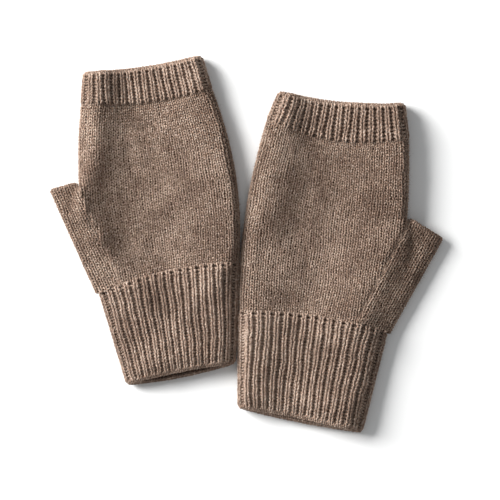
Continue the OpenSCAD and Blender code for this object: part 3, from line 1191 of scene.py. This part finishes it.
@dataclass
class Glove:
    """One glove: its form, its yarn, and the pieces it is knitted in. Lengths are in millimetres.

    Attributes:
        hand: Which glove.
        plan: Its outline.
        finishes: The materials.
        yarn: The yarn and its loops.
        gauge: The stitch counts.
        fuzz: The loose fibres.
        lip_courses: Courses in the curled edge of a mouth.
        lip_overlap: How far inside a mouth its edge starts.
        ground_inset: How far inside the yarn's middle the ground sheet lies; its colour is painted shade.
        ground_row: Height of one row of the ground's faces.
        ground_follow: How closely a ribbed ground follows the ribs' waves.
        ground_overlap: How far the hand's ground runs on past the gusset's line.
        swell_share: Mean width that the side swell adds, as a multiple of the swell. Not used.
        wrist_fold_run: Length of fabric, down from the cuff's top, between the two points that settle works
            out at the wrist.
        thumb_fold_run: Length of fabric between the two points that settle works out across the thumb's
            side.
        thumb_fold_lead: Share of that length on the hand's side of the line from the thumb's foot to the
            crotch.
        seam_stitch: Length of one seam stitch.
        seam_points: Points along one seam stitch.
        seam_place: Where the seam runs, as a share of the way across.
        seam_depth: How far inside the fold it lies.
        seam_size: Half the height and half the width of its stitches.
        seam_start: How far inside the cuff's mouth it starts.
    """

    hand: Hand
    plan: Plan
    finishes: Finishes
    yarn: Yarn = field(default_factory=Yarn)
    gauge: Gauge = field(default_factory=Gauge)
    fuzz: Fuzz = field(default_factory=Fuzz)
    lip_courses: int = 4
    lip_overlap: float = 0.6
    ground_inset: float = 0.05
    ground_row: float = 1.6
    ground_follow: float = 0.9
    ground_overlap: float = 0.4
    swell_share: float = 1.3
    wrist_fold_run: float = 26.0
    thumb_fold_run: float = 9.0
    thumb_fold_lead: float = 0.35
    seam_stitch: float = 3.0
    seam_points: int = 8
    seam_place: float = 0.012
    seam_depth: float = 2.0
    seam_size: tuple[float, float] = (0.9, 0.5)
    seam_start: float = 2.0

    def __post_init__(self) -> None:
        """Sets up the form, the place and the knitter."""
        self.place = Placement.from_frame(self.hand)
        self.form = Form(self.plan)
        chance = np.random.default_rng(20 + self.hand.value)
        self.knitter = Knitter(self.form, self.yarn, self.gauge, chance)
        self.fuzz_chance = np.random.default_rng(70 + self.hand.value)

    def body(self, part: str) -> str:
        """Name of one of the glove's bodies: hand, cuff or thumb."""
        return f"{self.hand.word}_{part}"

    def knit(self, name: str, strands: list[Strand], finish: bpy.types.Material, slot: str,
             part: str, nodes: tuple[str, ...]) -> bpy.types.Object:
        """Makes a knitted piece from its strands, and hides the frame's nodes that it replaces.

        Args:
            name: The piece's name, without the hand.
            strands: Its lengths of yarn.
            finish: Its material.
            slot: The kind of knitting; plain_knit takes the thinner plain yarn.
            part: The part of the glove it belongs to; a hand piece rides on the hand's body.
            nodes: The frame's nodes that it replaces, without the hand.

        Returns:
            The object.
        """
        thickness = self.yarn.plain_diameter if slot == "plain_knit" else self.yarn.diameter
        tubes = TubeMesh(thickness / 2, self.yarn.sides)
        for row, strand in enumerate(strands):
            tubes.add(strand, row, len(strands))
        piece = tubes.build(f"{self.hand.word}_{name}", self.place)
        self.settle(piece, finish, part)
        if nodes:
            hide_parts(*(f"{self.hand.word}_{node}" for node in nodes))
        LOG.info("%s: %d strands, %d faces", piece.name, len(strands), len(piece.data.polygons))
        return piece

    def brush(self, name: str, strands: list[Strand], part: str) -> bpy.types.Object:
        """Raises the loose fibres of a knitted piece.

        Args:
            name: The piece's name, without the hand.
            strands: The yarn they stand out of.
            part: The part of the glove it belongs to; a hand piece rides on the hand's body.

        Returns:
            The object.
        """
        LOG.info("%s on %d strands", name, len(strands))
        piece = self.fuzz.grow(f"{self.hand.word}_{name}", strands, self.yarn.diameter / 2, self.place,
                               self.fuzz_chance)
        self.settle(piece, self.finishes.fibre, part)
        return piece

    def settle(self, piece: bpy.types.Object, finish: bpy.types.Material, part: str) -> None:
        """Gives a piece its finish; a hand piece rides on the hand's body, and a cuff or thumb piece has its
        placement baked into its points.
        """
        piece.data.materials.append(finish)
        plan = self.plan
        if part == "cuff":
            start = self.place.spot(0, plan.cuff_length, 0)
            end = self.place.spot(0, plan.cuff_length - self.wrist_fold_run, 0)
            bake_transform(piece)
        elif part == "thumb":
            foot, crotch = np.array(plan.thumb_foot), np.array(plan.crotch)
            along = unit(crotch - foot)
            out = np.array([along[1], -along[0]])
            middle = (foot + crotch) / 2
            first = middle - out * self.thumb_fold_lead * self.thumb_fold_run
            last = middle + out * (1 - self.thumb_fold_lead) * self.thumb_fold_run
            self.place.spot(*first, 0)
            self.place.spot(*last, 0)
            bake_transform(piece)
        else:
            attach(piece, self.body(part))

    def ground(self, name: str, layers: tuple[Layer, ...], s0: float, s1: float, part: str, slot: str,
               ribbed: bool = False, thumb: bool = False) -> bpy.types.Object:
        """The inside of a piece of fabric: a sheet along the middle of the knitting, coloured in painted
        shade.

        Args:
            name: The piece's name, without the hand.
            layers: The layers it covers; two make a tube, or a fold round the thumb.
            s0: Height at which it starts.
            s1: Height at which it ends.
            part: The part of the glove it belongs to; a hand piece rides on the hand's body.
            slot: Not used.
            ribbed: Whether it follows the ribs.
            thumb: Whether it is the gusset's and thumb's.

        Returns:
            The object.
        """
        rows = max(6, int(abs(s1 - s0) / self.ground_row))
        across = self.plan.thumb_wales * 3 if thumb else self.gauge.wales * (4 if ribbed else 2)
        share = np.linspace(0, 1, across + 1)
        strips = []
        for layer in layers:
            p, s = np.meshgrid(share, np.linspace(s0, s1, rows + 1))
            lift = np.full(p.shape, -self.ground_inset)
            if ribbed:
                lift = lift + self.rib_wave(p, 0 if layer is Layer.UPPER else 1)
            point, normal = self.form.surface(layer, p, s, thumb)
            point = point + normal * lift[..., None]
            strips.append(point if layer is Layer.UPPER else point[:, ::-1])
        closed = len(layers) == 2 and not thumb
        grid = np.concatenate([strips[0], strips[1][:, 1:]], axis=1) if len(layers) == 2 else strips[0]
        if closed:
            grid = grid[:, :-1]
        piece = self.sheet_mesh(f"{self.hand.word}_{name}", grid, closed, thumb)
        self.settle(piece, self.finishes.ground, part)
        return piece

    def rib_wave(self, p: np.ndarray, shift: int) -> np.ndarray:
        """Height of the ribs' ridges and hollows along a course, in millimetres."""
        share = self.gauge.knit_share
        place = (p * self.gauge.wales + shift) / 2
        if shift:
            place = place + share - 0.5
        turn = np.mod(place, 1.0)
        knit = turn < share
        ridge = self.ground_follow * self.gauge.rib_rise * np.sin(np.pi * turn / share)
        hollow = -self.ground_follow * self.gauge.purl_fall * np.sin(np.pi * (turn - share) / (1 - share))
        return np.where(knit, ridge, hollow)

    def sheet_mesh(self, name: str, grid: np.ndarray, closed: bool, thumb: bool) -> bpy.types.Object:
        """A sheet from a grid of points, cut at the gusset where it is the hand's.

        Args:
            name: Name of the object.
            grid: Points by row and place along the row.
            closed: Whether the rows are closed rings.
            thumb: Whether it is the gusset's and thumb's, which is never cut.

        Returns:
            The object.
        """
        rows, across = grid.shape[:2]
        i, j = np.meshgrid(np.arange(rows - 1), np.arange(across if closed else across - 1), indexing="ij")
        i, j = i.ravel(), j.ravel()
        beside = (j + 1) % across
        quads = np.stack([i * across + j, i * across + beside, (i + 1) * across + beside,
                          (i + 1) * across + j], axis=1)
        maps = np.stack([j, i, j + 1, i, j + 1, i + 1, j, i + 1], axis=1).reshape(-1, 4, 2).astype(float)
        maps /= np.array([across, rows - 1])
        points = grid.reshape(-1, 3)
        if not closed and not thumb:
            foot, crotch = np.array(self.plan.gusset_foot), np.array(self.plan.crotch)
            middle = points[quads, :2].mean(axis=1)
            keep = (beyond_line(middle, foot, crotch) < self.ground_overlap) | (middle[:, 1] > crotch[1])
            quads, maps = quads[keep], maps[keep]
        if self.hand is Hand.LEFT:
            quads, maps = quads[:, ::-1], maps[:, ::-1]
        used, corners = np.unique(quads, return_inverse=True)
        return build_mesh(name, self.place.to_row(points[used]), corners.ravel(),
                          np.arange(len(quads)) * 4, maps.reshape(-1, 2), np.zeros((len(used), 3)))

    def build(self) -> None:
        """Knits the whole glove."""
        self.knit_hand()
        self.knit_finger_rib()
        self.knit_cuff()
        self.knit_thumb()
        self.sew_seams()

    def knit_hand(self) -> None:
        """The back and palm of the hand, in plain stitches."""
        plan = self.plan
        courses = round(plan.hand_length / self.gauge.course)
        for layer, word in ((Layer.UPPER, "back"), (Layer.LOWER, "palm")):
            strands = self.knitter.panel(layer, courses)
            knitting = self.knit(f"{word}_knit", strands, self.finishes.plain, "plain_knit", "hand",
                                 (f"{word}_panel",))
            fuzz = self.brush(f"{word}_fuzz", strands, "hand")
            ground = self.ground(f"{word}_ground", (layer,), plan.cuff_length, plan.rib_start, "hand",
                                 "plain_knit")

    def knit_finger_rib(self) -> None:
        """The rib round the fingers, and the edge in which it ends."""
        plan, gauge = self.plan, self.gauge
        courses = round(plan.rib_length / gauge.rib_course)
        strands = self.knitter.rings(plan.rib_start, plan.length, courses, Structure.RIB, gauge.wales)
        knitting = self.knit("finger_rib_knit", strands, self.finishes.rib, "rib_knit", "hand",
                             ("finger_rib",))
        ground = self.ground("finger_rib_ground", (Layer.UPPER, Layer.LOWER), plan.rib_start, plan.length,
                             "hand", "rib_knit", ribbed=True)
        fuzz = self.brush("finger_rib_fuzz", strands, "hand")
        curl = math.pi * self.form.lip_radius
        strands = self.knitter.rings(plan.length - self.lip_overlap, plan.length + curl, self.lip_courses,
                                     Structure.PLAIN, gauge.wales)
        self.knit("finger_edge_knit", strands, self.finishes.edge, "edge_yarn", "hand", ("finger_edge",))

    def knit_cuff(self) -> None:
        """The long ribbed cuff, and the edge in which it starts."""
        plan, gauge = self.plan, self.gauge
        courses = round(plan.cuff_length / gauge.rib_course)
        strands = self.knitter.rings(0.0, plan.cuff_length, courses, Structure.RIB, gauge.wales)
        knitting = self.knit("cuff_knit", strands, self.finishes.rib, "rib_knit", "cuff", ("cuff_rib",))
        ground = self.ground("cuff_ground", (Layer.UPPER, Layer.LOWER), 0.0, plan.cuff_length, "cuff",
                             "rib_knit", ribbed=True)
        fuzz = self.brush("cuff_fuzz", strands, "cuff")
        curl = math.pi * self.form.lip_radius
        strands = self.knitter.rings(self.lip_overlap, -curl, self.lip_courses, Structure.PLAIN, gauge.wales)
        self.knit("cuff_edge_knit", strands, self.finishes.edge, "edge_yarn", "cuff", ("cuff_edge",))

    def knit_thumb(self) -> None:
        """The gusset and thumb, folded round the thumb's outer side, and the thumb's edge."""
        plan, wales = self.plan, self.plan.thumb_wales
        length = self.form.thumb_length
        courses = round(length / self.gauge.course)
        strands = self.knitter.rings(0.0, length, courses, Structure.PLAIN, wales, thumb=True)
        knitting = self.knit("thumb_knit", strands, self.finishes.plain, "plain_knit", "thumb",
                             ("thumb_gusset", "thumb_stub"))
        ground = self.ground("thumb_ground", (Layer.UPPER, Layer.LOWER), 0.0, length, "thumb",
                             "plain_knit", thumb=True)
        fuzz = self.brush("thumb_fuzz", strands, "thumb")
        curl = math.pi * self.form.lip_radius
        strands = self.knitter.rings(length, length + curl, self.lip_courses, Structure.PLAIN, wales,
                                     thumb=True)
        self.knit("thumb_edge_knit", strands, self.finishes.edge, "edge_yarn", "thumb", ("thumb_edge",))

    def sew_seams(self) -> None:
        """The joining seam inside the little finger's side: over-and-over stitches in the same yarn."""
        plan = self.plan
        for name, part, s0, s1 in (("side_seam", "hand", plan.cuff_length, plan.rib_start),
                                   ("cuff_seam", "cuff", self.seam_start, plan.cuff_length)):
            stitches = int((s1 - s0) / self.seam_stitch)
            turn = np.linspace(0, 2 * np.pi * stitches, stitches * self.seam_points + 1)
            s = s0 + (s1 - s0) * turn / turn[-1]
            place = np.full(s.shape, self.seam_place)
            upper, upper_out = self.form.surface(Layer.UPPER, place, s)
            lower, lower_out = self.form.surface(Layer.LOWER, place, s)
            out = unit(upper_out + lower_out)
            middle = (upper + lower) / 2 - out * self.seam_depth
            tall, wide = self.seam_size
            over = np.stack([0 * s, 0 * s, np.sin(turn)], axis=1) * tall
            line = middle + over + out * np.cos(turn)[:, None] * wide
            self.knit(f"{name}_yarn", [Strand(line, out, False, 0.5)], self.finishes.edge, "seam_yarn",
                      part, (name,))


@dataclass(frozen=True)
class Studio:
    """A white table under soft light from the upper left, seen from straight above, in metres.

    Attributes:
        width: Width of the view on the table.
        height: How high the camera stands.
        aside: How far the view's middle lies from the middle of the pair.
        sensor_mm: Width of the camera's sensor, in millimetres.
        far_clip: How far the camera sees.
        table_half: Half the width of the table.
        key_place: Where the lamp stands.
        key_size: Width and height of the lamp.
        key_watts: Power of the lamp.
        sky: Strength of the even light from all round.
    """

    width: float = 0.310
    height: float = 1.9
    aside: tuple[float, float] = (0.0051, -0.0054)
    sensor_mm: float = 36.0
    far_clip: float = 20.0
    table_half: float = 3.0
    key_place: tuple[float, float, float] = (-1.38, 0.67, 0.84)
    key_size: tuple[float, float] = (1.0, 0.85)
    key_watts: float = 76.0
    sky: float = 0.37

    def build(self) -> None:
        """Makes the table, the light and the camera."""
        self.lay_table()
        self.light()
        self.place_camera()
        bpy.context.scene.view_settings.view_transform = "Standard"

    def lay_table(self) -> None:
        """The white table."""
        size = self.table_half
        mesh = bpy.data.meshes.new("table")
        corners = [(-size, -size, 0), (size, -size, 0), (size, size, 0), (-size, size, 0)]
        mesh.from_pydata(corners, [], [(0, 1, 2, 3)])
        table = bpy.data.objects.new("table", mesh)
        bpy.context.scene.collection.objects.link(table)
        material = bpy.data.materials.new("white_table")
        material.use_nodes = True
        shader = material.node_tree.nodes["Principled BSDF"]
        shader.inputs["Base Color"].default_value = linear("#f6f6f5")
        shader.inputs["Roughness"].default_value = 0.9
        shader.inputs["Specular IOR Level"].default_value = 0.1
        mesh.materials.append(material)

    def light(self) -> None:
        """A large soft lamp at the upper left, and an even pale sky."""
        lamp = bpy.data.lights.new("window", "AREA")
        lamp.shape = "RECTANGLE"
        lamp.size, lamp.size_y = self.key_size
        lamp.energy = self.key_watts
        stand = bpy.data.objects.new("window", lamp)
        stand.location = self.key_place
        stand.rotation_euler = (-Vector(self.key_place)).to_track_quat("-Z", "Y").to_euler()
        bpy.context.scene.collection.objects.link(stand)
        world = bpy.context.scene.world or bpy.data.worlds.new("sky")
        bpy.context.scene.world = world
        world.use_nodes = True
        sky = world.node_tree.nodes["Background"]
        sky.inputs["Color"].default_value = linear("#f7f9fb")
        sky.inputs["Strength"].default_value = self.sky

    def place_camera(self) -> None:
        """The camera, straight above the pair."""
        camera = bpy.data.cameras.new("overhead")
        camera.sensor_width = self.sensor_mm
        camera.lens = self.sensor_mm * self.height / self.width
        camera.clip_end = self.far_clip
        stand = bpy.data.objects.new("overhead", camera)
        stand.location = (self.aside[0], self.aside[1], self.height)
        bpy.context.scene.collection.objects.link(stand)
        bpy.context.scene.camera = stand


def main() -> None:
    """Builds the pair around the frame."""
    logging.basicConfig(level=logging.INFO, format="%(message)s")
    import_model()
    finishes = Finishes.mixed()
    for hand, plan in ((Hand.LEFT, LEFT_PLAN), (Hand.RIGHT, RIGHT_PLAN)):
        Glove(hand, plan, finishes).build()
    Studio().build()


if __name__ == "__main__":
    main()
